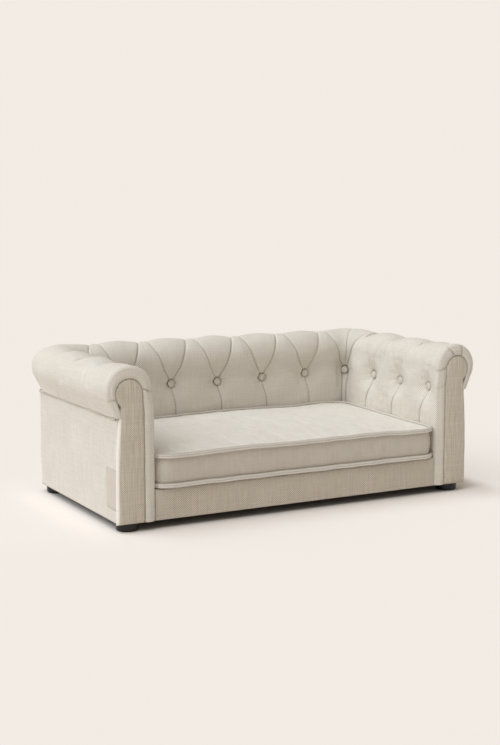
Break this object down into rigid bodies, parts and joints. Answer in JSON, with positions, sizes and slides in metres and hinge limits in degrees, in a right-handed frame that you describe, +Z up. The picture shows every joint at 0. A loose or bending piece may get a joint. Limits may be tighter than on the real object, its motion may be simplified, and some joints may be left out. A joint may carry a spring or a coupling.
{
  "type": "dog sofa bed",
  "caption": "Small upholstered pet sofa with rolled scroll arms, a deep-buttoned back, a loose box cushion with piping, and low round feet.",
  "frame": {"origin": "on the floor under the middle of the sofa's bounding box", "axes": "+X to the right seen from the front, +Y to the back, +Z up; the front faces -Y"},
  "size_m": [0.9516, 0.5098, 0.3557],
  "materials": {
    "tufted_fabric": "cream slub weave, padded",
    "facing_fabric": "cream slub weave, padded",
    "cover_fabric": "cream slub weave, taut",
    "apron_fabric": "cream slub weave, padded",
    "cushion_fabric": "cream slub weave, padded",
    "piping_fabric": "bias-cut cream weave over cord",
    "button_fabric": "cream weave stretched over a button",
    "tag_fabric": "plain woven tape",
    "dust_cloth": "black non-woven cloth",
    "zip_tape": "woven zip tape",
    "zip_metal": "plated",
    "foot_plastic": "black, glossy",
    "steel": "zinc plated",
    "pine": "sawn",
    "plywood": "sanded",
    "roll_foam": "dense upholstery foam",
    "cushion_foam": "upholstery foam"
  },
  "bodies": {
    "sofa": {"dust_cover": "dust_cloth", "foot_front_left": "foot_plastic", "foot_front_right": "foot_plastic", "foot_rear_left": "foot_plastic", "foot_rear_right": "foot_plastic", "foot_screws": "steel", "side_bottom_rail_left": "pine", "side_bottom_rail_right": "pine", "side_top_rail_left": "pine", "side_top_rail_right": "pine", "rear_post_left": "pine", "rear_post_right": "pine", "scroll_former_left": "plywood", "scroll_former_right": "plywood", "side_board_left": "plywood", "side_board_right": "plywood", "side_inner_board_left": "plywood", "side_inner_board_right": "plywood", "back_bottom_rail": "pine", "back_top_rail": "pine", "back_board": "plywood", "back_inner_board": "plywood", "roll_core_left": "roll_foam", "roll_core_right": "roll_foam", "roll_core_back": "roll_foam", "seat_front_rail": "pine", "seat_rear_rail": "pine", "seat_side_rails": "pine", "seat_brace": "pine", "corner_blocks": "pine", "deck_panel": "plywood", "deck_cloth": "apron_fabric", "apron": "apron_fabric", "frame_bolts": "steel", "arm_padding_left": "tufted_fabric", "arm_padding_right": "tufted_fabric", "corner_padding_left": "tufted_fabric", "corner_padding_right": "tufted_fabric", "back_padding": "tufted_fabric", "facing_left": "facing_fabric", "facing_right": "facing_fabric", "side_cover_left": "cover_fabric", "side_cover_right": "cover_fabric", "rear_cover": "cover_fabric", "buttons_back": "button_fabric", "buttons_left": "button_fabric", "buttons_right": "button_fabric", "tag": "tag_fabric"},
    "cushion": {"cushion_cover": "cushion_fabric", "cushion_core": "cushion_foam", "upper_piping": "piping_fabric", "lower_piping": "piping_fabric", "zip_tape": "zip_tape"},
    "zip_slider": {"zip_slider": "zip_metal"},
    "zip_pull": {"zip_pull": "zip_metal"}
  },
  "joints": [
    {"name": "cushion_slide", "type": "slide", "parent": "sofa", "child": "cushion", "axis": [0, -1, 0], "range_m": [0, 0.45]},
    {"name": "zip_slide", "type": "slide", "parent": "cushion", "child": "zip_slider", "axis": [1, 0, 0], "range_m": [0, 0.544]},
    {"name": "zip_pull_swing", "type": "hinge", "parent": "zip_slider", "child": "zip_pull", "pos_m": [-0.272, 0.1551, 0.1248], "axis": [1, 0, 0], "range_deg": [0, 8]}
  ]
}
